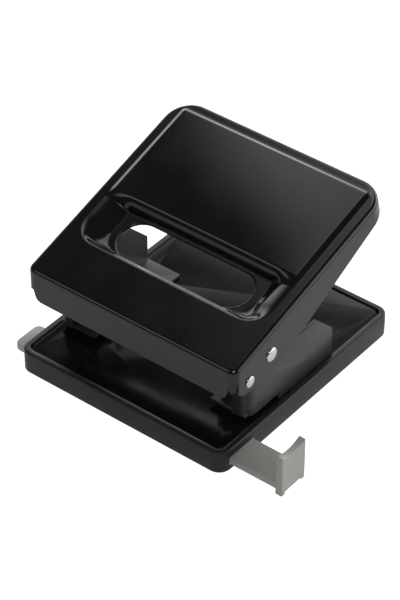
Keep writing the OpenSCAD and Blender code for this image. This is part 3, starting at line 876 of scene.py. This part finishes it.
away, away_x, away_s = from_slot(px, ps)
base = pressed_height(px, ps)
tiny = 0.01
slope_x = (pressed_height(px + tiny, ps) - pressed_height(px - tiny, ps)) / (2 * tiny)
slope_s = (pressed_height(px, ps + tiny) - pressed_height(px, ps - tiny)) / (2 * tiny)
top_normal = np.stack([-slope_x, -slope_s, np.ones_like(px)], 1)
top_normal /= np.linalg.norm(top_normal, axis=1)[:, None]
under_skin = np.stack([px, ps, base], 1) - steel * top_normal
roll = np.clip((slot_roll - away) / slot_roll, 0, 1)
height = base - slot_roll * (1 - np.sqrt(1 - roll ** 2))
leaning = np.stack([-away_x * roll, -away_s * roll, np.sqrt(1 - roll ** 2)], 1)
top_normal = np.where((roll > 0)[:, None], leaning, top_normal)
over_skin = np.stack([px, ps, height], 1)

n_plan = len(plan)
places = np.concatenate([over_skin, under_skin,
                         np.array([row[0] for f in flanges for row in f[1:]])])
normals = np.concatenate([top_normal, np.where((away < 0.01)[:, None], leaning,
                                               np.tile([0.0, 0.0, -1.0], (n_plan, 1))),
                          np.array([row[1] for f in flanges for row in f[1:]])])
faces = cells + [tuple(n_plan + i for i in reversed(cell)) for cell in cells]
for i in range(n_slot):
    a, b = n_cols + i, n_cols + (i + 1) % n_slot
    faces.append((b, a, n_plan + a, n_plan + b))


def column_vertex(c, row):
    """The first row of a column is the top's rim, and the last is the rim of the under side."""
    c %= n_cols
    if row == 0:
        return c
    return 2 * n_plan + c * (n_rows - 1) + row - 1 if row < n_rows else n_plan + c


for c in range(n_cols):
    for row in range(n_rows):
        faces.append((column_vertex(c, row), column_vertex(c, row + 1),
                      column_vertex(c + 1, row + 1), column_vertex(c + 1, row)))
turn = np.array([[1, 0, 0], [0, math.cos(pitch), -math.sin(pitch)],
                 [0, math.sin(pitch), math.cos(pitch)]])
places = (places @ turn.T + [0, lever_y, lever_z]) * MM
normals = normals @ turn.T

lever_enamel, tree, shader = finish("lever_enamel", (0.005, 0.005, 0.006), 0.12,
                                    Specular_IOR_Level=0.5)
dress(tree, shader, (0.0048, 0.0048, 0.0055), (0.05, 0.05, 0.055), (0.09, 0.09, 0.09),
      (0.10, 0.17), use_group(tree, ripple), 0.00002, cover=0.02, rub_reach=0.4)
lever_mesh = bpy.data.meshes.new("lever_pressing")
lever_mesh.from_pydata(places.tolist(), [], faces)
lever_mesh.materials.append(lever_enamel)
lever_mesh.shade_smooth()
lever_mesh.normals_split_custom_set_from_vertices(normals.tolist())
lever = bpy.data.objects.new("lever_pressing", lever_mesh)
bpy.context.collection.objects.link(lever)
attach(lever, "lever_arm")
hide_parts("lever")


# ---- Press rod ----
# A plated steel rod through both of the lever's flanges, headed over at each end. It bears on
# the heads of the two punches.
def domed_pin(name, ends, shank_radius, heads, centre, material):
    """A pin along X with a head at either end: heads are (radius, height)."""
    (r0, h0), (r1, h1) = heads
    x0, x1 = ends

    def dome(x, sign, r, h):
        """Profile of one rounded head, out from x."""
        return [(r * math.cos(a) if a < math.pi / 2 - 1e-6 else 0.0,
                 x + sign * h * (0.3 + 0.7 * math.sin(a)))
                for a in np.linspace(0, math.pi / 2, 8)]
    left = [(r, x) for r, x in reversed(dome(x0 + h0, -1, r0, h0))]
    right = dome(x1 - h1, 1, r1, h1)
    profile = left + [(r0, x0 + h0 - 0.02 * h0), (shank_radius, x0 + h0), (shank_radius, x1 - h1),
                      (r1, x1 - h1 + 0.02 * h1)] + right
    verts, faces = turned(profile, 56, "X")
    verts = [(x, y + centre[0], z + centre[1]) for x, y, z in verts]
    return plain_mesh(name, verts, faces, material, 50.0)


rod_low, rod_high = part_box("press_rod")
rod_radius, rod_head_tall = 2.5 * MM, 1.2 * MM
rod_head = (rod_high[2] - rod_low[2]) / 2
rod = domed_pin("press_rod_headed", (rod_low[0], rod_high[0]), rod_radius,
                ((rod_head, rod_head_tall), (rod_head, rod_head_tall)),
                ((rod_low[1] + rod_high[1]) / 2, (rod_low[2] + rod_high[2]) / 2), rivet_steel)
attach(rod, "lever_arm")
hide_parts("press_rod")


# ---- Pivot rivets and washers ----
# A steel rivet on each side, headed cold, joins the lever to the bracket's ear. A nylon washer
# between the two keeps the enamel from rubbing.
nylon, tree, shader = finish("washer_nylon", (0.55, 0.54, 0.50), 0.45)
dress(tree, shader, (0.55, 0.54, 0.50), (0.42, 0.41, 0.38), (0.3, 0.29, 0.27), (0.38, 0.5),
      use_group(tree, grain, Pits_per_metre=4200.0), 0.00003)
pivot_radius, pivot_outer, pivot_head_tall = 2.0 * MM, 2.7 * MM, 1.0 * MM
for side in ("left", "right"):
    low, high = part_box(side + "_pivot_rivet")
    inner = (high[2] - low[2]) / 2
    centre = ((low[1] + high[1]) / 2, (low[2] + high[2]) / 2)
    heads = ((pivot_outer, pivot_head_tall), (inner, pivot_head_tall))
    heads = heads if side == "left" else heads[::-1]
    rivet = domed_pin(side + "_pivot_headed", (low[0], high[0]), pivot_radius, heads, centre,
                      rivet_steel)
    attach(rivet, "mechanism")
    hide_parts(side + "_pivot_rivet")
    washer = eased(side + "_pivot_spacer", side + "_pivot_washer", nylon, 0.15 * MM)
    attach(washer, "mechanism")
    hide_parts(side + "_pivot_washer")


# ---- Paper guide ----
# Moulded in warm grey plastic: a bar that slides on the tray's ribs, with a fence at its right
# end that the paper's edge stops against.
guide_plastic, tree, shader = finish("guide_plastic", (0.36, 0.36, 0.335), 0.4)
dress(tree, shader, (0.36, 0.357, 0.335), (0.46, 0.458, 0.44), (0.32, 0.315, 0.30),
      (0.34, 0.46), use_group(tree, grain, Pits_per_metre=3200.0), 0.00005, cover=0.1)
guide = eased("paper_guide_moulding", "paper_guide", guide_plastic, 0.45 * MM, segments=3)
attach(guide, "guide")
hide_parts("paper_guide")
